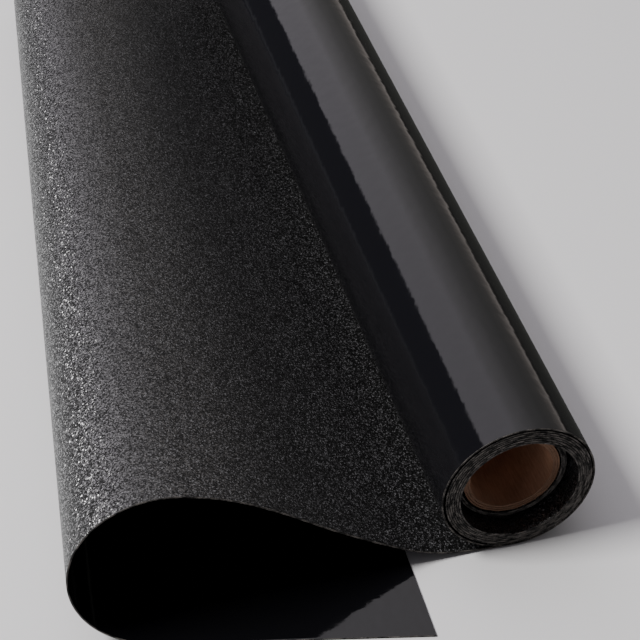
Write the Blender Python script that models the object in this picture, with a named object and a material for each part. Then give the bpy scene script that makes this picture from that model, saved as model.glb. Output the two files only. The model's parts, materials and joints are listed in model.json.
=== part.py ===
"""Roll of sign vinyl: a paperboard core, a wound two-layer film and a free sheet that curls off it.

Metres, +Z up, roll axis along Y. The near end of the roll faces -Y and the sheet leaves towards -X.
"""

import math

import bmesh
import bpy
from mathutils import Matrix, Quaternion, Vector

for old in list(bpy.data.objects):
    bpy.data.objects.remove(old, do_unlink=True)

# Film laminate, counted inwards from the glossy face that lies outside on the roll
film_width = 0.305
carrier_thickness = 0.00015
layer_gap = 0.00010
vinyl_thickness = 0.00020
turn_gap = 0.00012

# Roll
roll_radius = 0.021
segments_per_turn = 32
lead_steps = 29  # steps of the outermost turn that stay with the table
lead_gap_steps = 1
wound_clearance = 0.00030
stuck_wall = 0.00246  # of the innermost turns, which are stuck to the core
slip_clearance = 0.00030

# Paperboard core, three plies
core_length = 0.305
core_inner_radius = 0.01140
core_ply_wall = 0.00055
core_ply_gap = 0.00012
core_ply_names = ("core_inner_ply", "core_middle_ply", "core_outer_ply")
core_clearance = 0.00030
core_slip = 0.0055  # how far the core and its inner turns have slid in at the near end

# Free sheet: creases fan out from a far apex, so the curl is tighter at the far edge
apex_distance = 1.200
rise_start = 0.0065
rise_start_turn = 7.5
rise_length = 0.0175
rise_turn = 24.0
ramp_length = 0.025
ramp_step = 0.0005  # by which the ramp grows where a larger curl needs it
ramp_sway = 6.0
shoulder_length = 0.0145
shoulder_turn = 13.5
curl_start = 0.015
curl_spacing = 0.0097
curl_count = 8
curl_first_turn = 21.5
curl_last_turn = 28.0
tail_length = 0.075
panel_gap = 0.0007
lead_length = 0.0030  # flat part of the lead, from the roll's line of contact

laminate = carrier_thickness + layer_gap + vinyl_thickness
turn_pitch = laminate + turn_gap
core_outer_radius = (
    core_inner_radius + len(core_ply_names) * core_ply_wall + (len(core_ply_names) - 1) * core_ply_gap
)
winding_inner_radius = core_outer_radius + stuck_wall
layers = {
    "carrier": (0.0, carrier_thickness),
    "vinyl": (carrier_thickness + layer_gap, laminate),
}


def principled(name, colour, roughness, coat=0.0):
    material = bpy.data.materials.new(name)
    material.use_nodes = True
    shader = material.node_tree.nodes["Principled BSDF"]
    shader.inputs["Base Color"].default_value = (*colour, 1.0)
    shader.inputs["Roughness"].default_value = roughness
    shader.inputs["Metallic"].default_value = 0.0
    shader.inputs["Coat Weight"].default_value = coat
    return material


def ruled_solid(name, rails, origin, material, ring=False):
    """A closed strip between four rails of equal length: near outer, near inner, far outer, far inner."""
    count = len(rails[0])
    bm = bmesh.new()
    near_out, near_in, far_out, far_in = [[bm.verts.new(p - origin) for p in rail] for rail in rails]
    for i in range(count if ring else count - 1):
        j = (i + 1) % count
        bm.faces.new((near_out[i], near_out[j], far_out[j], far_out[i]))
        bm.faces.new((near_in[i], far_in[i], far_in[j], near_in[j]))
        bm.faces.new((near_out[i], near_in[i], near_in[j], near_out[j]))
        bm.faces.new((far_out[i], far_out[j], far_in[j], far_in[i]))
    if not ring:
        for k in (0, -1):
            bm.faces.new((near_out[k], far_out[k], far_in[k], near_in[k]))
    bmesh.ops.recalc_face_normals(bm, faces=bm.faces[:])
    mesh = bpy.data.meshes.new(name)
    bm.to_mesh(mesh)
    bm.free()
    mesh.shade_smooth()
    mesh.set_sharp_from_angle(angle=math.radians(35))
    piece = bpy.data.objects.new(name, mesh)
    piece.location = origin
    piece.data.materials.append(material)
    bpy.context.collection.objects.link(piece)
    return piece


def on_roll(step, radius, y):
    """A point on the roll, steps counted from the line of contact up the right-hand side."""
    turn = 2 * math.pi * step / segments_per_turn
    return Vector((radius * math.sin(turn), y, roll_radius - radius * math.cos(turn)))


def spiral_rails(first, count, outer_radius, pitch, layer, slip=0.0):
    top, bottom = layers[layer]
    rails = []
    for y in (slip, slip + film_width):
        for depth in (top, bottom):
            rails.append(
                [
                    on_roll(first + i, outer_radius - pitch * i / segments_per_turn - depth, y)
                    for i in range(count + 1)
                ]
            )
    return rails


def fold_sheet(ramp):
    """Crease list and the plane of each facet between them; the last crease lays the tail on the table."""
    curl_step = (curl_last_turn - curl_first_turn) / (curl_count - 2)
    creases = [
        (rise_start, rise_start_turn, True),
        (rise_length, rise_turn, True),
        (ramp, ramp_sway, False),
        (ramp, -ramp_sway, False),
        (shoulder_length, -shoulder_turn, True),
    ]
    for k in range(curl_count - 1):
        creases.append((curl_spacing if k else curl_start, -curl_first_turn - curl_step * k, True))
    along, down, up = 0.0, Vector((0, -1, 0)), Vector((0, 0, 1))
    facets = [(0.0, down, up)]
    places = []
    for step, turn, hinged in creases:
        angle = math.atan2(along + step, apex_distance) - math.atan2(along, apex_distance)
        along += step
        down = Quaternion(up, -angle) @ down
        up = Quaternion(down, -math.radians(turn)) @ up
        places.append((along, turn, hinged))
        facets.append((along, down, up))
    swing = math.atan2(down.z, up.cross(down).z) % math.pi
    angle = math.atan2(along, apex_distance) + swing
    along = apex_distance * math.tan(angle)
    down = Quaternion(up, -swing) @ down
    back = Vector((0, 0, -1))
    last = math.degrees(math.atan2(up.cross(back).dot(-down), up.dot(back)))
    places.append((along, last, True))
    facets.append((along, down, back))
    return places, facets


def folded_sheet():
    """The ramp rises further if the curl needs more height to come down onto the table behind its last crease."""
    ramp = ramp_length
    places, facets = fold_sheet(ramp)
    while not 0.5 * curl_spacing <= places[-1][0] - places[-2][0] <= 3 * curl_spacing and ramp < 3 * ramp_length:
        ramp += ramp_step
        places, facets = fold_sheet(ramp)
    return places, facets


def on_sheet(facets, i, along, y, height):
    start, down, up = facets[i]
    angle = math.atan2(along, apex_distance)
    ray = Quaternion(up, math.atan2(start, apex_distance) - angle) @ down
    apex = Vector((0, apex_distance, laminate / 2))
    return apex + ray * ((apex_distance - y) / math.cos(angle)) + up * height


def on_crease(facets, i, along, y, height):
    """The mitred point of the crease between facets i and i + 1."""
    one, two = facets[i][2], facets[i + 1][2]
    return on_sheet(facets, i, along, y, 0.0) + (one + two) * (height / (1 + one.dot(two)))


def panel_rails(facets, first, last, marks, layer):
    """Rails of the panel that covers facets first to last; marks are its start, inner creases and end."""
    rails = []
    for y in (0.0, film_width):
        for depth in layers[layer]:
            height = depth - laminate / 2
            rail = [on_sheet(facets, first, marks[0], y, height)]
            for k, mark in enumerate(marks[1:-1]):
                rail.append(on_crease(facets, first + k, mark, y, height))
            rail.append(on_sheet(facets, last, marks[-1], y, height))
            rails.append(rail)
    return rails


finishes = {
    "vinyl": principled("grained_vinyl", (0.018, 0.018, 0.019), 0.55),
    "carrier": principled("glossy_carrier", (0.006, 0.006, 0.007), 0.08, 0.5),
    "core": principled("kraft_board", (0.19, 0.11, 0.065), 0.85),
}

# Core plies
core_origin = Vector((0, core_slip, roll_radius))
for n, name in enumerate(core_ply_names):
    inner = core_inner_radius + n * (core_ply_wall + core_ply_gap)
    ends = (core_slip, core_slip + core_length)
    rings = [
        [on_roll(i, radius, y) for i in range(segments_per_turn)]
        for y in ends
        for radius in (inner + core_ply_wall, inner)
    ]
    ruled_solid(name, rings, core_origin, finishes["core"], ring=True)

# Wound film: carrier and vinyl run side by side down one spiral, whose inner turns slid in with the core


def steps_between(outer_radius, inner_radius):
    return math.floor((outer_radius - laminate - inner_radius) / turn_pitch * segments_per_turn)


wound_radius = roll_radius - laminate - wound_clearance
wound_first = lead_steps + lead_gap_steps
wound_steps = steps_between(wound_radius, winding_inner_radius)
inner_radius = winding_inner_radius - slip_clearance
inner_first = wound_first + wound_steps + 1
inner_steps = steps_between(inner_radius, core_outer_radius + core_clearance)
for layer in layers:
    rails = spiral_rails(wound_first, wound_steps, wound_radius, turn_pitch, layer)
    ruled_solid(layer + "_wound", rails, Vector((0, 0, roll_radius)), finishes[layer])
    rails = spiral_rails(inner_first, inner_steps, inner_radius, turn_pitch, layer, core_slip)
    ruled_solid(layer + "_inner_turns", rails, core_origin, finishes[layer])

# Lead: the outermost turn and the flat strip where the film meets the table
far_share = (apex_distance - film_width) / apex_distance
for layer in layers:
    rails = spiral_rails(0, lead_steps, roll_radius, 0.0, layer)
    for rail, y in zip(rails, (0.0, 0.0, film_width, film_width)):
        rail.insert(0, Vector((-lead_length * (far_share if y else 1), y, rail[0].z)))
    ruled_solid(layer + "_lead", rails, Vector((0, 0, 0)), finishes[layer])

# Free sheet: stiff panels between hinged creases
places, facets = folded_sheet()
start, first, number = lead_length + panel_gap, 0, 1
inner_marks = []
pivot = on_sheet(facets, 0, start, 0.0, 0.0)
for i, (along, turn, hinged) in enumerate([*places, (places[-1][0] + tail_length, 0.0, True)]):
    if not hinged:
        inner_marks.append(along)
        continue
    end = along - (panel_gap / 2 if i < len(places) else 0.0)
    for layer in layers:
        rails = panel_rails(facets, first, i, [start, *inner_marks, end], layer)
        ruled_solid(f"{layer}_sheet_{number:02d}", rails, pivot, finishes[layer])
    pivot = on_sheet(facets, i, along, 0.0, 0.0)
    start, first, number, inner_marks = along + panel_gap / 2, i + 1, number + 1, []

# Stand the part on its footprint's centre
bpy.context.view_layer.update()
corners = [o.matrix_world @ v.co for o in bpy.context.collection.objects for v in o.data.vertices]
low = Vector([min(c[k] for c in corners) for k in range(3)])
high = Vector([max(c[k] for c in corners) for k in range(3)])
shift = Matrix.Translation((-(low.x + high.x) / 2, -(low.y + high.y) / 2, -low.z))
for piece in bpy.context.collection.objects:
    piece.matrix_world = shift @ piece.matrix_world
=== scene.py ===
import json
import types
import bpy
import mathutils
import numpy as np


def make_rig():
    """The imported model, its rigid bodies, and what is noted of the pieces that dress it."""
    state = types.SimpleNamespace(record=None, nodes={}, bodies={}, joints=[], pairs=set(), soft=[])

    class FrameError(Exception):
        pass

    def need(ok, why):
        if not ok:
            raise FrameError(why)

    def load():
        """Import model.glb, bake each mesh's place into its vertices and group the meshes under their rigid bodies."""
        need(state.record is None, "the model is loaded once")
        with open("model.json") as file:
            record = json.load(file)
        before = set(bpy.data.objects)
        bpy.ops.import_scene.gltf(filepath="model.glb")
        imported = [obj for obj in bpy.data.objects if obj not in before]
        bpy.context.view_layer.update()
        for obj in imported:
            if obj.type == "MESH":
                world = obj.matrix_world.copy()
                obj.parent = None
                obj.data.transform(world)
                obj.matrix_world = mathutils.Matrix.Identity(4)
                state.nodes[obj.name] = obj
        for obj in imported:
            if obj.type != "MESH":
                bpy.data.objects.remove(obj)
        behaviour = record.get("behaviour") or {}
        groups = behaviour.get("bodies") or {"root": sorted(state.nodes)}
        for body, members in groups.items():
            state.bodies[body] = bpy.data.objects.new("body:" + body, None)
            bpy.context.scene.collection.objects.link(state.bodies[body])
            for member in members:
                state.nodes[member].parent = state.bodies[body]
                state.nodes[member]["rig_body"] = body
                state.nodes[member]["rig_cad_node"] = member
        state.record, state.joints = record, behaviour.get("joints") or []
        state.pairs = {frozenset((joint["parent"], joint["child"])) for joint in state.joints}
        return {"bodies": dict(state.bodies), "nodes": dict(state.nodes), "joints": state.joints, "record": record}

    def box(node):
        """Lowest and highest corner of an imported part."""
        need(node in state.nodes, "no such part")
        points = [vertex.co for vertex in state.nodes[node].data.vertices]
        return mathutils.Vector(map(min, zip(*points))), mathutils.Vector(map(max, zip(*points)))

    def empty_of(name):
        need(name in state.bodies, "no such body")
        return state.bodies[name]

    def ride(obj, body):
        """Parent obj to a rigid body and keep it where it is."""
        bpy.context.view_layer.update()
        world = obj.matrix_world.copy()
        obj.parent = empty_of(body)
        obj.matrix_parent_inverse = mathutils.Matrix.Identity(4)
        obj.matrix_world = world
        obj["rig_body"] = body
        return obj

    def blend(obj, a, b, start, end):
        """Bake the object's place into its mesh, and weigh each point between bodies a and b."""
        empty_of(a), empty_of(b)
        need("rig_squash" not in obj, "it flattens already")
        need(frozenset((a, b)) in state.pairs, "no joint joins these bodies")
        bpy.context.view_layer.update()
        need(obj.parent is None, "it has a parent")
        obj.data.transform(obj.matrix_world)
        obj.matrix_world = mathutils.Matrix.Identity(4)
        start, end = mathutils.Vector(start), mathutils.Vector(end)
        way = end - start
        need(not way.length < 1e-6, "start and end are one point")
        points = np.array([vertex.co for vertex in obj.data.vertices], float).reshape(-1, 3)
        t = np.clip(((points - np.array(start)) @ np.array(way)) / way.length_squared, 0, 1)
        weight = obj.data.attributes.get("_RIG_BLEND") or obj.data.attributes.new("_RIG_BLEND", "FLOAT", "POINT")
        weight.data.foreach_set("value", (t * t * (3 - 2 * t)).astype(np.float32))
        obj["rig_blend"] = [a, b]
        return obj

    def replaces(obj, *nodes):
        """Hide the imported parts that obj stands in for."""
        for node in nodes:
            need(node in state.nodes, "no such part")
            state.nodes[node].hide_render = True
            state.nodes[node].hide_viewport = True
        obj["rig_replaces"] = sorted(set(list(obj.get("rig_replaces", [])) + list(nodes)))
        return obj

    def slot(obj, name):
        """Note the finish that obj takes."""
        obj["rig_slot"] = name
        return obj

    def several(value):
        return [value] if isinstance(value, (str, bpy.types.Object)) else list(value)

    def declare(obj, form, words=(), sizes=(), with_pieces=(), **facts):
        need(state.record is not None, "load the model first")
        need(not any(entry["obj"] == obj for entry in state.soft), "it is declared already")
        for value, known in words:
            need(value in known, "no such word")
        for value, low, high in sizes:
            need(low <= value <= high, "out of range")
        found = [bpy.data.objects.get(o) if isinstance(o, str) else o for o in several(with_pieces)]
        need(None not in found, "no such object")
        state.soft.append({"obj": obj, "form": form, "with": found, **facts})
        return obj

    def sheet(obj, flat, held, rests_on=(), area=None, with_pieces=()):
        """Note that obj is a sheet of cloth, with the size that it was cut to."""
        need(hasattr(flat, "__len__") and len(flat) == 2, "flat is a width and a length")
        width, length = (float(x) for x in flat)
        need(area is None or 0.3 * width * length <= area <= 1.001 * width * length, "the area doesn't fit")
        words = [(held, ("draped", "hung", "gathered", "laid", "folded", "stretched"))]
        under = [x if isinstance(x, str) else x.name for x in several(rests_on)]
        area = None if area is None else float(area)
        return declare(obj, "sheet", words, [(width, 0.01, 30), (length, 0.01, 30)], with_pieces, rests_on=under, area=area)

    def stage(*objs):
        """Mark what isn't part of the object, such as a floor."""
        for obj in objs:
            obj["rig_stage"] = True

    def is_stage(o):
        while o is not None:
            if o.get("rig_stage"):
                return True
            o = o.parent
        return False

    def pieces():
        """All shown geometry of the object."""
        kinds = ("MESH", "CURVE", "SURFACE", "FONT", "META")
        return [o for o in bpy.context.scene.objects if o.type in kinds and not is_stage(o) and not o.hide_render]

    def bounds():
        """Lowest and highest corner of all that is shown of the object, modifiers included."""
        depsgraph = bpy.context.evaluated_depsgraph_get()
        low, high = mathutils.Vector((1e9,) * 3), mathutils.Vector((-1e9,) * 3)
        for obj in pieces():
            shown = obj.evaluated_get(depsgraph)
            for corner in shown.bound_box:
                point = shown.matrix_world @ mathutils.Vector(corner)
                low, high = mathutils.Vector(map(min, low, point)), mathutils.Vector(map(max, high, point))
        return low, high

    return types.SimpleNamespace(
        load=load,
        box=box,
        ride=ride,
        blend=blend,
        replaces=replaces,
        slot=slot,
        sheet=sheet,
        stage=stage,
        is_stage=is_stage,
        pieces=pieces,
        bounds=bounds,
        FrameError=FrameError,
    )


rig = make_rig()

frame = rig.load()

import json
import math

import bmesh
import bpy
import numpy as np
from mathutils import Quaternion, Vector

cadLow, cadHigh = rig.bounds()
joints = {j["name"]: j for j in frame["joints"]}
print("frame loaded:", len(frame["nodes"]), "nodes,", len(joints), "joints")

# where the roll stands, read from the frame
rollJoint = joints["roll_turn"]
axisX, axisZ = rollJoint["pos_m"][0], rollJoint["pos_m"][2]
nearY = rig.box("carrier_lead")[0].y
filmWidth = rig.box("carrier_lead")[1].y - nearY
rollRadius = axisZ
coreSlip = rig.box("core_outer_ply")[0].y - nearY


# ---- small helpers for meshes ----

def finishMesh(bm, name, materials, smoothAngle=40):
    mesh = bpy.data.meshes.new(name)
    bm.to_mesh(mesh)
    bm.free()
    mesh.shade_smooth()
    mesh.set_sharp_from_angle(angle=math.radians(smoothAngle))
    piece = bpy.data.objects.new(name, mesh)
    for material in materials:
        mesh.materials.append(material)
    bpy.context.scene.collection.objects.link(piece)
    return piece


filmCut = {
    "edgeRow": 0.0004,  # a row this near each cut edge keeps the face flat up to it
    "softEdge": 0.00008,
    "softSegments": 2,
}


def filmFromGrid(name, alongs, rows, place, depths, materials):
    # a flat film of one layer, cut as a grid, its two cut edges eased, and then laid along its path
    bm = bmesh.new()
    steps = len(alongs) - 1
    edgeRow = filmCut["edgeRow"]
    acrosses = [0, edgeRow, *np.linspace(0, filmWidth, rows + 1)[1:-1], filmWidth - edgeRow, filmWidth]
    bmesh.ops.create_grid(bm, x_segments=steps, y_segments=len(acrosses) - 1, size=0.5)
    for v in bm.verts:
        along = float(np.interp((v.co.x + 0.5) * steps, range(steps + 1), alongs))
        row = (v.co.y + 0.5) * (len(acrosses) - 1)
        across = float(np.interp(row, range(len(acrosses)), acrosses))
        v.co = Vector((along, across, depths[0]))
    grown = bmesh.ops.extrude_face_region(bm, geom=bm.faces[:])
    top = [g for g in grown["geom"] if isinstance(g, bmesh.types.BMVert)]
    bmesh.ops.translate(bm, verts=top, vec=(0, 0, depths[1] - depths[0]))
    rims = [e for e in bm.edges if all(abs(v.co.y - filmWidth / 2) > filmWidth / 2 - 1e-6 for v in e.verts)
            and abs(e.verts[0].co.x - e.verts[1].co.x) > 1e-7]
    bmesh.ops.bevel(bm, geom=rims, offset=filmCut["softEdge"], segments=filmCut["softSegments"], profile=0.5,
                    affect="EDGES", material=-1)
    bmesh.ops.recalc_face_normals(bm, faces=bm.faces[:])
    flat = bm.loops.layers.uv.new("filmFlat")
    for face in bm.faces:
        face.material_index = 1 if abs(face.normal.y) > 0.2 else 0
        for loop in face.loops:
            loop[flat].uv = loop.vert.co.xy
    for v in bm.verts:
        v.co = place(v.co.x, v.co.y / filmWidth, v.co.z)
    bmesh.ops.recalc_face_normals(bm, faces=bm.faces[:])
    return finishMesh(bm, name, materials)


# ---- materials ----

def newMaterial(name):
    material = bpy.data.materials.new(name)
    material.use_nodes = True
    tree = material.node_tree
    shader = tree.nodes["Principled BSDF"]
    return material, tree, shader


def addNode(tree, kind, inputs=(), **settings):
    node = tree.nodes.new(kind)
    for key, value in settings.items():
        setattr(node, key, value)
    for key, value in dict(inputs).items():
        if isinstance(value, bpy.types.NodeSocket):
            tree.links.new(value, node.inputs[key])
        else:
            node.inputs[key].default_value = value
    return node


def ramp(tree, factor, stops):
    node = addNode(tree, "ShaderNodeValToRGB", {"Fac": factor})
    while len(node.color_ramp.elements) < len(stops):
        node.color_ramp.elements.new(0.5)
    for element, (place, colour) in zip(node.color_ramp.elements, stops):
        element.position = place
        element.color = (*colour, 1.0) if len(colour) == 3 else colour
    return node.outputs["Color"]


vinylFinish = {
    "ground": (0.002, 0.002, 0.002),
    # colour: the brightest of the painted glint specks in the base colour
    "colour": (0.150, 0.150, 0.157),
    "paintedGlintPower": 7.0,  # painted glints: higher leaves fewer, brighter light specks in the base colour
    "flake": (0.33, 0.327, 0.333),
    "flakeShare": 4.0,  # higher leaves fewer flakes
    "flakeSize": 0.00031,
    "flakeTilt": 0.9,
    "roughness": 0.33,
    "grainSize": 0.0006,
    "grainDepth": 0.00004,
}


def filmPattern(tree, drawnOff):
    # the strip beside the roll lengthens as film is drawn off, so its pattern keeps to the table
    if drawnOff:
        return addNode(tree, "ShaderNodeTexCoord").outputs["Object"]
    return addNode(tree, "ShaderNodeUVMap", uv_map="filmFlat").outputs["UV"]


def makeGrainedVinyl(name, drawnOff=False):
    # dull black with a fine metallic grain, each grain leaning its own way
    look = vinylFinish
    material, tree, shader = newMaterial(name)
    shader.inputs["Roughness"].default_value = 0.6
    shader.inputs["Specular IOR Level"].default_value = 0.2
    flat = filmPattern(tree, drawnOff)
    lumps = addNode(tree, "ShaderNodeTexNoise", {"Vector": flat, "Scale": 1 / look["grainSize"],
                                                 "Detail": 2.0}, noise_dimensions="2D")
    bump = addNode(tree, "ShaderNodeBump", {"Strength": 1.0, "Distance": look["grainDepth"],
                                            "Height": lumps.outputs["Fac"]})
    grains = addNode(tree, "ShaderNodeTexVoronoi", {"Vector": flat, "Scale": 1 / look["flakeSize"]},
                     voronoi_dimensions="2D", feature="F1")
    centred = addNode(tree, "ShaderNodeVectorMath", {0: grains.outputs["Color"], 1: (0.5, 0.5, 0.5)},
                      operation="SUBTRACT")
    tilt = addNode(tree, "ShaderNodeVectorMath", {0: centred.outputs[0], "Scale": look["flakeTilt"]},
                   operation="SCALE")
    leaned = addNode(tree, "ShaderNodeVectorMath", {0: bump.outputs["Normal"], 1: tilt.outputs[0]},
                     operation="ADD")
    normal = addNode(tree, "ShaderNodeVectorMath", {0: leaned.outputs[0]}, operation="NORMALIZE").outputs[0]
    tree.links.new(bump.outputs["Normal"], shader.inputs["Normal"])
    flake = addNode(tree, "ShaderNodeBsdfPrincipled", {"Base Color": (*look["flake"], 1), "Metallic": 1.0,
                                                       "Roughness": look["roughness"], "Normal": normal})
    chances = addNode(tree, "ShaderNodeSeparateColor", {"Color": grains.outputs["Color"]}).outputs
    # painted glints: light specks in the base colour stand in for the grain's glints, beside the real metallic flakes
    paintedGlints = addNode(tree, "ShaderNodeMath", {0: chances["Green"], 1: look["paintedGlintPower"]}, operation="POWER")
    tree.links.new(ramp(tree, paintedGlints.outputs[0], [(0.0, look["ground"]), (1.0, look["colour"])]),
                   shader.inputs["Base Color"])
    share = addNode(tree, "ShaderNodeMath", {0: chances["Red"], 1: look["flakeShare"]},
                    operation="POWER").outputs[0]
    both = addNode(tree, "ShaderNodeMixShader", {0: share, 1: shader.outputs[0], 2: flake.outputs[0]})
    tree.links.new(both.outputs[0], tree.nodes["Material Output"].inputs["Surface"])
    return material


cutFinish = {
    "colour": (0.140, 0.128, 0.117),
    "dark": (0.022, 0.021, 0.020),
    "nicksPerMetre": 260.0,
    "roughness": 0.55,
}


def makeCutEdge():
    # the knife leaves the film's edge greyer than its faces
    look = cutFinish
    material, tree, shader = newMaterial("cutEdge")
    flat = addNode(tree, "ShaderNodeUVMap", uv_map="filmFlat").outputs["UV"]
    nicks = addNode(tree, "ShaderNodeTexNoise", {"Vector": flat, "Scale": look["nicksPerMetre"],
                                                 "Detail": 3.0, "Roughness": 0.6}, noise_dimensions="2D")
    tree.links.new(ramp(tree, nicks.outputs["Fac"], [(0.40, look["dark"]), (0.62, look["colour"])]),
                   shader.inputs["Base Color"])
    shader.inputs["Roughness"].default_value = look["roughness"]
    shader.inputs["Specular IOR Level"].default_value = 0.3
    return material


carrierFinish = {
    "colour": (0.004, 0.004, 0.005),
    "roughness": 0.055,
    "waveLength": 0.0038,
    "waveDepth": 0.00006,
    "smearsPerMetre": 60.0,
    "smearRoughness": 0.07,
}


def makeGlossCarrier(name, drawnOff=False):
    look = carrierFinish
    material, tree, shader = newMaterial(name)
    shader.inputs["Base Color"].default_value = (*look["colour"], 1)
    shader.inputs["IOR"].default_value = 1.5
    flat = filmPattern(tree, drawnOff)
    waves = addNode(tree, "ShaderNodeTexNoise", {"Vector": flat, "Scale": 1 / look["waveLength"],
                                                 "Detail": 2.0, "Roughness": 0.4}, noise_dimensions="2D")
    bump = addNode(tree, "ShaderNodeBump", {"Strength": 1.0, "Distance": look["waveDepth"],
                                            "Height": waves.outputs["Fac"]})
    tree.links.new(bump.outputs["Normal"], shader.inputs["Normal"])
    smears = addNode(tree, "ShaderNodeTexNoise", {"Vector": flat, "Scale": look["smearsPerMetre"],
                                                  "Detail": 4.0, "Roughness": 0.6})
    rough = addNode(tree, "ShaderNodeMapRange", {"Value": smears.outputs["Fac"],
                                                 "From Min": 0.35, "From Max": 0.75,
                                                 "To Min": look["roughness"],
                                                 "To Max": look["roughness"] + look["smearRoughness"]})
    tree.links.new(rough.outputs["Result"], shader.inputs["Roughness"])
    return material


boardFinish = {
    "light": (0.42, 0.235, 0.145),
    "dark": (0.26, 0.140, 0.085),
    "paintedEndShade": 0.52,  # painted shade: the end faces, which turn away from the lamps, are coloured this much darker than the wall
    "fibreLength": 0.004,
    "fibreWidth": 0.0004,
    "fibreDepth": 0.00006,
    "blotchesPerMetre": 120.0,
    "roughness": 0.82,
}


def makeKraftBoard(name, shade):
    look = boardFinish
    material, tree, shader = newMaterial(name)
    place = addNode(tree, "ShaderNodeTexCoord").outputs["Object"]
    perMetre = (1 / look["fibreWidth"], 1 / look["fibreLength"], 1 / look["fibreWidth"])
    stretch = addNode(tree, "ShaderNodeMapping", {"Vector": place, "Scale": perMetre})
    fibres = addNode(tree, "ShaderNodeTexNoise", {"Vector": stretch.outputs[0], "Scale": 1.0, "Detail": 4.0,
                                                  "Roughness": 0.6})
    blotches = addNode(tree, "ShaderNodeTexNoise", {"Vector": place, "Scale": look["blotchesPerMetre"],
                                                    "Detail": 4.0})
    both = addNode(tree, "ShaderNodeMath", {0: fibres.outputs["Fac"], 1: blotches.outputs["Fac"]},
                   operation="ADD")
    mean = addNode(tree, "ShaderNodeMath", {0: both.outputs[0], 1: 0.5}, operation="MULTIPLY")
    dark, light = ([shade * c for c in look[key]] for key in ("dark", "light"))
    tree.links.new(ramp(tree, mean.outputs[0], [(0.36, dark), (0.62, light)]), shader.inputs["Base Color"])
    shader.inputs["Roughness"].default_value = look["roughness"]
    shader.inputs["Specular IOR Level"].default_value = 0.3
    bump = addNode(tree, "ShaderNodeBump", {"Strength": 0.5, "Distance": look["fibreDepth"],
                                            "Height": fibres.outputs["Fac"]})
    tree.links.new(bump.outputs["Normal"], shader.inputs["Normal"])
    return material


film = {"carrier": makeGlossCarrier("glossCarrier"), "vinyl": makeGrainedVinyl("grainedVinyl")}
drawnFilm = {"carrier": makeGlossCarrier("glossCarrierDrawn", True),
             "vinyl": makeGrainedVinyl("grainedVinylDrawn", True)}
cutEdge = makeCutEdge()
board = makeKraftBoard("kraftBoard", 1.0)
# painted shade: a darker copy of the board for its end faces, which turn away from the lamps
paintedShadeEndBoard = makeKraftBoard("paintedShadeEndBoard", boardFinish["paintedEndShade"])
print("materials made")

# ---- the free sheet ----

laminate = {"carrier": (0.0, 0.00021), "vinyl": (0.00022, 0.00045)}  # from the glossy face inwards
filmThickness = laminate["vinyl"][1]
sheetShape = {
    "apex": 1.200,  # the creases meet this far beyond the near edge
    "creases": [(0.0065, 7.5), (0.0175, 24.0), (0.025, 6.0), (0.025, -6.0), (0.0145, -13.5)],
    "curlStart": 0.015,
    "curlSpacing": 0.0097,
    "curlCount": 8,
    "curlFirst": 21.5,
    "curlLast": 28.0,
    "tail": 0.075,
    "strip": (0.0010, 0.0050),  # the film that is drawn off the roll, by its distance from it
    "hinged": [0, 1, 4],  # with every crease after them
    "rows": 10,
    "columnWidth": 0.0008,
    "tailColumns": (20, 8),  # in its bend and in its flat part
    "shortestFlat": 0.0101,
}
apex = Vector((axisX, nearY + sheetShape["apex"], filmThickness / 2))


def foldSheet():
    # creases along the near edge, and the plane of each facet between them
    shape = sheetShape
    growth = (shape["curlLast"] - shape["curlFirst"]) / (shape["curlCount"] - 2)
    steps = list(shape["creases"])
    for k in range(shape["curlCount"] - 1):
        steps.append((shape["curlSpacing"] if k else shape["curlStart"], -shape["curlFirst"] - growth * k))
    along, down, up = 0.0, Vector((0, -1, 0)), Vector((0, 0, 1))
    creases, facets = [], [(0.0, down, up)]
    for step, turn in steps:
        angle = math.atan2(along + step, shape["apex"]) - math.atan2(along, shape["apex"])
        along += step
        down = Quaternion(up, -angle) @ down
        up = Quaternion(down, -math.radians(turn)) @ up
        creases.append((along, math.radians(abs(turn))))
        facets.append((along, down, up))
    swing = math.atan2(down.z, up.cross(down).z) % math.pi
    angle = math.atan2(along, shape["apex"]) + swing
    along = shape["apex"] * math.tan(angle)
    down = Quaternion(up, -swing) @ down
    back = Vector((0, 0, -1))
    creases.append((along, abs(math.atan2(up.cross(back).dot(-down), up.dot(back)))))
    facets.append((along, down, back))
    return creases, facets


creases, facets = foldSheet()
sheetEnd = creases[-1][0] + sheetShape["tail"]
gaps = np.diff([0.0] + [c[0] for c in creases] + [sheetEnd])
reaches = [min(gaps[i] if i == 0 else gaps[i] / 2, gaps[i + 1] / 2) for i in range(len(creases))]


def onFacet(i, along, y):
    start, down, up = facets[i]
    angle = math.atan2(along, sheetShape["apex"])
    ray = Quaternion(up, math.atan2(start, sheetShape["apex"]) - angle) @ down
    return apex + ray * ((sheetShape["apex"] - y) / math.cos(angle))


def onSheet(along, across, depth):
    # each crease is rounded into an arc that meets the flat facets halfway
    y, height = across * filmWidth, depth - filmThickness / 2
    for i, ((crease, turn), reach) in enumerate(zip(creases, reaches)):
        if abs(along - crease) <= reach:
            one, two = facets[i][2], facets[i + 1][2]
            share = (along - crease + reach) / (2 * reach)
            start, corner = onFacet(i, crease - reach, y), onFacet(i, crease, y)
            end = onFacet(i + 1, crease + reach, y)
            sweep, radius = share * turn, 1 / math.tan(turn / 2)
            second = radius * (1 - math.cos(sweep)) / math.sin(turn)
            first = radius * math.sin(sweep) - second * math.cos(turn)
            normal = (one * math.sin(turn - sweep) + two * math.sin(sweep)) / math.sin(turn)
            return start + (corner - start) * first + (end - corner) * second + normal * height
    i = sum(1 for crease, _ in creases if crease < along)
    return onFacet(i, along, y) + facets[i][2] * height


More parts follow.
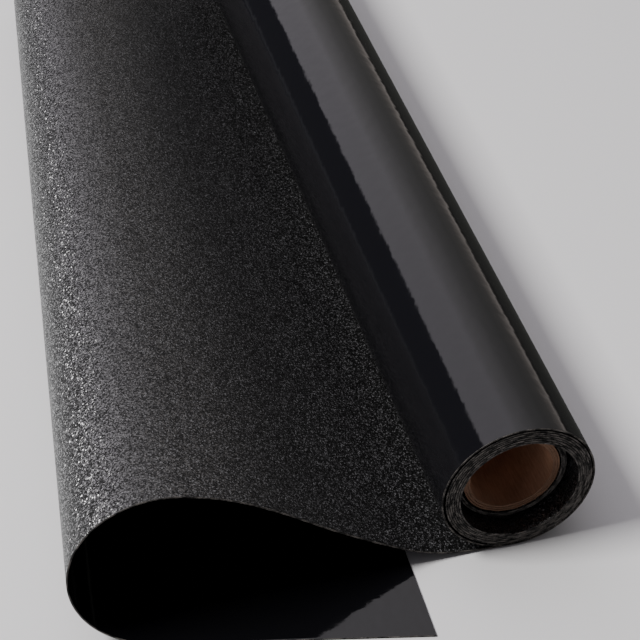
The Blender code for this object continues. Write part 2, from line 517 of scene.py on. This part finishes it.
hinged = sheetShape["hinged"] + list(range(sheetShape["hinged"][-1] + 1, len(creases)))
bodies = [f"sheet_{n:02d}" for n in range(1, len(hinged) + 2)]
hingeAlong = [creases[i][0] for i in hinged]
cuts = [*sheetShape["strip"], *[(a + b) / 2 for a, b in zip(hingeAlong, hingeAlong[1:])], sheetEnd]
hingeJoins = [("lead", "sheet_01")] + list(zip(bodies, bodies[1:]))


def bendSpan(n, first, last):
    # where a piece starts and ends its bend: square to its crease, and inside its cut lines all the way
    along = (first + last) / 2 if n == 0 else hingeAlong[n - 1]
    pivot, crease = onSheet(along, 0.5, filmThickness / 2), onSheet(along, 1, 0) - onSheet(along, 0, 0)
    across = onSheet(min(last, 2 * along - first), 0.5, 0) - onSheet(first, 0.5, 0)
    across = (across - across.project(crease)).normalized()
    corners = [(share, depth) for share in (0, 1) for depth in (0, filmThickness)]
    before = min((pivot - onSheet(first, *corner)).dot(across) for corner in corners)
    after = min((onSheet(last, *corner) - pivot).dot(across) for corner in corners)
    if n > 1:  # the first two spread away from the roll, which leaves them room to lift
        before = after = min(before, after)
    return pivot - across * before, pivot + across * after


farShare = 1 - filmWidth / sheetShape["apex"]  # how long a piece is at its far end, against its near end
for layer, material in film.items():
    for n, (bodyA, bodyB) in enumerate(hingeJoins):
        first, last = cuts[n], cuts[n + 1]
        count = max(6, round((last - first) / sheetShape["columnWidth"]))
        alongs = list(np.linspace(first, last, count + 1))
        if n == len(hingeJoins) - 1:
            bendEnd = creases[-1][0] + reaches[-1]
            bent, flat = sheetShape["tailColumns"]
            alongs = list(np.linspace(first, bendEnd, bent)) + list(np.linspace(bendEnd, last, flat))[1:]
        finishes = [material if n else drawnFilm[layer], cutEdge]
        piece = filmFromGrid(f"{layer}Sheet{n:02d}", alongs, sheetShape["rows"], onSheet, laminate[layer],
                             finishes)
        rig.blend(piece, bodyA, bodyB, *bendSpan(n, first, last))
        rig.replaces(piece, f"{layer}_{bodyB}")
        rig.slot(piece, layer)
        length = alongs[-1] - alongs[0]
        area = filmWidth * length * (1 + farShare) / 2
        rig.sheet(piece, flat=(filmWidth, max(length, sheetShape["shortestFlat"])), held="laid", area=area)
print("free sheet laid")

# ---- the roll ----

rollShape = {
    "stepsPerTurn": 120,
    "leadTurn": 350.0,  # degrees of film that stay as the outermost turn
    "leadEase": 240.0,  # from here on it tucks in against the turns below
    "leadTuck": 0.00010,
    "leadRows": 24,
    "pitch": 0.00058,
    "conePerTurn": 0.00008,
    "wander": 0.00005,
    "woundStart": 338.0,
    "woundRadius": 0.0204,
    "woundTurns": 7.05,
    "innerRadius": 0.01545,
    "innerTurns": 2.45,
}


def onRoll(turn, radius, y):
    return Vector((axisX + radius * math.sin(turn), nearY + y, axisZ - radius * math.cos(turn)))


def leadPlace(along, across, depth):
    y = across * filmWidth
    if along < 0:  # the flat film beside the roll
        return Vector((axisX + along * (1 - y / sheetShape["apex"]), nearY + y, depth))
    turn = along / rollRadius
    ease = math.degrees(turn) - rollShape["leadEase"]
    ease = max(0.0, ease / (rollShape["leadTurn"] - rollShape["leadEase"]))
    radius = rollRadius - rollShape["leadTuck"] * ease * ease * (3 - 2 * ease)
    return onRoll(turn, radius - depth, y)


leadEnd = math.radians(rollShape["leadTurn"]) * rollRadius
for layer, material in film.items():
    alongs = [-cuts[0], -cuts[0] / 2] + list(np.linspace(0, leadEnd, rollShape["stepsPerTurn"]))
    piece = filmFromGrid(layer + "Lead", alongs, rollShape["leadRows"], leadPlace, laminate[layer],
                         [material, cutEdge])
    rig.ride(piece, "lead")
    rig.replaces(piece, layer + "_lead")
    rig.slot(piece, layer)
    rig.sheet(piece, flat=(filmWidth, leadEnd + cuts[0]), held="folded")


def windingPlace(startRadius, shift):
    # one spiral of film; inner turns stand out a little, and all wander, as on a loosely wound roll
    startTurn = math.radians(rollShape["woundStart"])

    def place(along, across, depth):
        turns = along / (2 * math.pi * startRadius)
        radius = startRadius - rollShape["pitch"] * turns - depth
        slide = rollShape["wander"] * (math.sin(2.1 * turns + 0.6) + 0.6 * math.sin(5.3 * turns))
        slide -= rollShape["conePerTurn"] * turns
        return onRoll(startTurn + 2 * math.pi * turns, radius, across * filmWidth + shift + slide)
    return place


windings = [
    # label, radius, turns, shift along the roll, body, node
    ("Wound", rollShape["woundRadius"], rollShape["woundTurns"], 0.0, "winding", "wound"),
    ("InnerTurns", rollShape["innerRadius"], rollShape["innerTurns"], coreSlip, "core", "inner_turns"),
]
for label, radius, turns, shift, body, node in windings:
    for layer, material in film.items():
        length = turns * 2 * math.pi * radius
        alongs = list(np.linspace(0, length, round(turns * rollShape["stepsPerTurn"])))
        place = windingPlace(radius, shift)
        piece = filmFromGrid(layer + label, alongs, 1, place, laminate[layer], [material, cutEdge])
        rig.ride(piece, body)
        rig.replaces(piece, f"{layer}_{node}")
        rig.slot(piece, layer)
        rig.sheet(piece, flat=(filmWidth, length), held="folded")
print("roll wound")

# ---- the board core ----

coreShape = {
    "bore": 0.01140,
    "plyWall": 0.00055,
    "plyGap": 0.00012,
    "plies": ["core_inner_ply", "core_middle_ply", "core_outer_ply"],
    "segments": 160,
    "easedEnd": 0.00012,
    "fray": 0.00012,
    "plyStep": 0.00008,  # each ply's ends stand this far from the next one's
}


def makePly(n, node):
    inner = coreShape["bore"] + n * (coreShape["plyWall"] + coreShape["plyGap"])
    outer = inner + coreShape["plyWall"] + (coreShape["plyGap"] * 0.8 if n < 2 else 0)
    bm = bmesh.new()
    low, high = coreSlip, coreSlip + filmWidth
    profile = ((inner, low), (outer, low), (outer, high), (inner, high))
    corners = [bm.verts.new((r, y, 0)) for r, y in profile]
    edges = [bm.edges.new((corners[i], corners[(i + 1) % 4])) for i in range(4)]
    bmesh.ops.spin(bm, geom=corners + edges, axis=(0, 1, 0), cent=(0, 0, 0), dvec=(0, 0, 0),
                   angle=2 * math.pi, steps=coreShape["segments"], use_merge=True, use_duplicate=False)
    bmesh.ops.remove_doubles(bm, verts=bm.verts[:], dist=0.000001)
    ends = [e for e in bm.edges if abs(e.verts[0].co.y - e.verts[1].co.y) < 1e-6
            and abs(e.verts[0].co.xz.length - e.verts[1].co.xz.length) < 1e-6]
    bmesh.ops.bevel(bm, geom=ends, offset=coreShape["easedEnd"], segments=2, profile=0.5, affect="EDGES",
                    material=-1)
    bmesh.ops.recalc_face_normals(bm, faces=bm.faces[:])
    for face in bm.faces:
        # the end faces take the board copy with painted shade
        face.material_index = 1 if abs(face.normal.y) > 0.2 else 0
    for v in bm.verts:
        turn = math.atan2(v.co.x, v.co.z)
        fray = coreShape["fray"] * (math.sin(7 * turn + n) + 0.7 * math.sin(17 * turn + 2 * n)
                                    + 0.5 * math.sin(41 * turn)) * 0.5
        y = nearY + v.co.y + fray + coreShape["plyStep"] * (1 - n)
        v.co = Vector((axisX + v.co.x, y, axisZ + v.co.z))
    piece = finishMesh(bm, "corePly" + "ABC"[n], [board, paintedShadeEndBoard], 35)
    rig.ride(piece, "core")
    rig.replaces(piece, node)
    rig.slot(piece, "core")


for n, node in enumerate(coreShape["plies"]):
    makePly(n, node)
print("core made")

# ---- floor, light and camera ----

stageLook = {"floorColour": (0.80, 0.80, 0.81), "floorSize": 6.0, "floorDrop": 0.0001}
bm = bmesh.new()
bmesh.ops.create_grid(bm, x_segments=1, y_segments=1, size=stageLook["floorSize"])
bmesh.ops.translate(bm, verts=bm.verts[:], vec=(0, 0, -stageLook["floorDrop"]))
floorMaterial, floorTree, floorShader = newMaterial("paleFloor")
floorShader.inputs["Base Color"].default_value = (*stageLook["floorColour"], 1)
floorShader.inputs["Roughness"].default_value = 0.9
floorShader.inputs["Specular IOR Level"].default_value = 0.1
floor = finishMesh(bm, "studioFloor", [floorMaterial])
floor.visible_glossy = False
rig.stage(floor)

# the sky is banded round the roll's axis, like long soft boxes over a dark bench
skyLook = {
    "strength": 1.0,
    "front": 0.12,  # how bright it is behind the camera
    "bands": [  # degrees from straight up, towards +X, then colour
        (-180, (1.1, 1.1, 1.1)), (-158, (2.2, 2.2, 2.2)), (-125, (2.5, 2.5, 2.5)),
        (-108, (1.7, 1.7, 1.7)), (-97, (0.07, 0.07, 0.08)), (-89, (0.07, 0.07, 0.085)),
        (-86, (0.20, 0.20, 0.22)), (-81, (0.07, 0.07, 0.085)), (-41.5, (0.07, 0.07, 0.09)),
        (-39, (1.34, 1.27, 1.38)), (6, (1.31, 1.24, 1.33)), (18, (1.02, 0.97, 1.01)),
        (43, (0.53, 0.51, 0.51)), (62, (0.33, 0.32, 0.31)), (76, (0.32, 0.30, 0.285)),
        (85, (0.50, 0.45, 0.42)), (90.5, (0.82, 0.74, 0.70)), (93.5, (0.03, 0.03, 0.025)),
        (100, (0.08, 0.08, 0.075)), (120, (0.065, 0.065, 0.06)), (180, (0.05, 0.05, 0.05)),
    ],
}


def makeSky():
    world = bpy.data.worlds.new("studioSky")
    bpy.context.scene.world = world
    world.use_nodes = True
    tree = world.node_tree
    background = tree.nodes["Background"]
    towards = addNode(tree, "ShaderNodeTexCoord").outputs["Generated"]
    parts = addNode(tree, "ShaderNodeSeparateXYZ", {"Vector": towards})
    turn = addNode(tree, "ShaderNodeMath", {0: parts.outputs["X"], 1: parts.outputs["Z"]},
                   operation="ARCTAN2")
    share = addNode(tree, "ShaderNodeMapRange", {"Value": turn.outputs[0], "From Min": -math.pi,
                                                 "From Max": math.pi})
    stops = [((degrees + 180) / 360, colour) for degrees, colour in skyLook["bands"]]
    tree.links.new(ramp(tree, share.outputs["Result"], stops), background.inputs["Color"])
    depth = addNode(tree, "ShaderNodeMapRange", {"Value": parts.outputs["Y"], "From Min": -0.2, "From Max": 0.5,
                                                 "To Min": skyLook["front"] * skyLook["strength"],
                                                 "To Max": skyLook["strength"]})
    tree.links.new(depth.outputs["Result"], background.inputs["Strength"])


makeSky()

lampLook = {"place": (-0.85, 0.00, 1.15), "size": 0.4, "power": 24.0, "colour": (1.0, 0.98, 0.96)}
lamp = bpy.data.lights.new("softBox", "AREA")
lamp.shape = "SQUARE"
lamp.size, lamp.energy, lamp.color = lampLook["size"], lampLook["power"], lampLook["colour"]
softBox = bpy.data.objects.new("softBox", lamp)
softBox.location = lampLook["place"]
softBox.rotation_euler = (-softBox.location).to_track_quat("-Z", "Y").to_euler()  # aimed at the origin
bpy.context.scene.collection.objects.link(softBox)

cameraLook = {"place": (-0.0922, -0.4670, 0.3787), "tilt": 49.38, "pan": -15.17, "lens": 108.25}
cameraData = bpy.data.cameras.new("studioCamera")
cameraData.lens = cameraLook["lens"]
cameraData.sensor_width = 36.0
cameraData.clip_start = 0.01
camera = bpy.data.objects.new("studioCamera", cameraData)
camera.location = cameraLook["place"]
camera.rotation_euler = (math.radians(cameraLook["tilt"]), 0, math.radians(cameraLook["pan"]))
bpy.context.scene.collection.objects.link(camera)
bpy.context.scene.camera = camera
print("stage lit")

seenLow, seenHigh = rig.bounds()
with open("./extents.json", "w") as sizeFile:
    json.dump({"cad": [list(cadLow), list(cadHigh)], "seen": [list(seenLow), list(seenHigh)]}, sizeFile)
